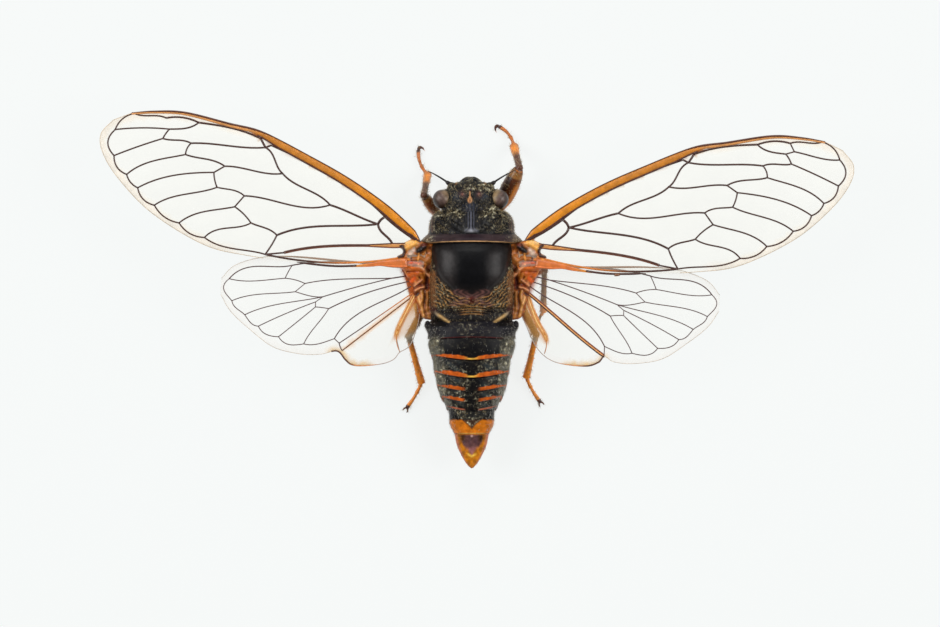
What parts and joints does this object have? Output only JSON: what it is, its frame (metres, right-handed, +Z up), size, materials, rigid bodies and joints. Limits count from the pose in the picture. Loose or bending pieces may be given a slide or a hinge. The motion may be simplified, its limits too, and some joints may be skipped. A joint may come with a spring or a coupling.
{
  "type": "new forest cicada",
  "caption": "Female cicada as a still, life-size model, wings spread flat and clear with dark veins, black body with orange rings, resting on its feet.",
  "frame": {"origin": "on the floor, under the middle of the box round the wings and body", "axes": "+X to the insect's right, along the wings' span; +Y from tail to head; +Z up"},
  "size_m": [0.0515, 0.0244, 0.0064],
  "materials": {
    "cuticle_black": "satin black cuticle with short pale gold hairs",
    "cuticle_amber": "glossy amber to red-brown cuticle",
    "eye": "glossy grey-brown",
    "wing_membrane": "clear, slightly creamy membrane with dark brown veins"
  },
  "bodies": {
    "root": {"head": "cuticle_black", "eye_left": "eye", "eye_right": "eye", "antenna_left": "cuticle_black", "antenna_right": "cuticle_black", "rostrum": "cuticle_black", "pronotum": "cuticle_black", "mesothorax": "cuticle_black", "metathorax": "cuticle_black", "abdomen": "cuticle_black", "abdomen_tip": "cuticle_amber", "ovipositor": "cuticle_amber", "foreleg_left": "cuticle_amber", "foreleg_right": "cuticle_amber", "midleg_left": "cuticle_amber", "midleg_right": "cuticle_amber", "hindleg_left": "cuticle_amber", "hindleg_right": "cuticle_amber", "forewing_left": "wing_membrane", "forewing_right": "wing_membrane", "hindwing_left": "wing_membrane", "hindwing_right": "wing_membrane"}
  },
  "joints": []
}
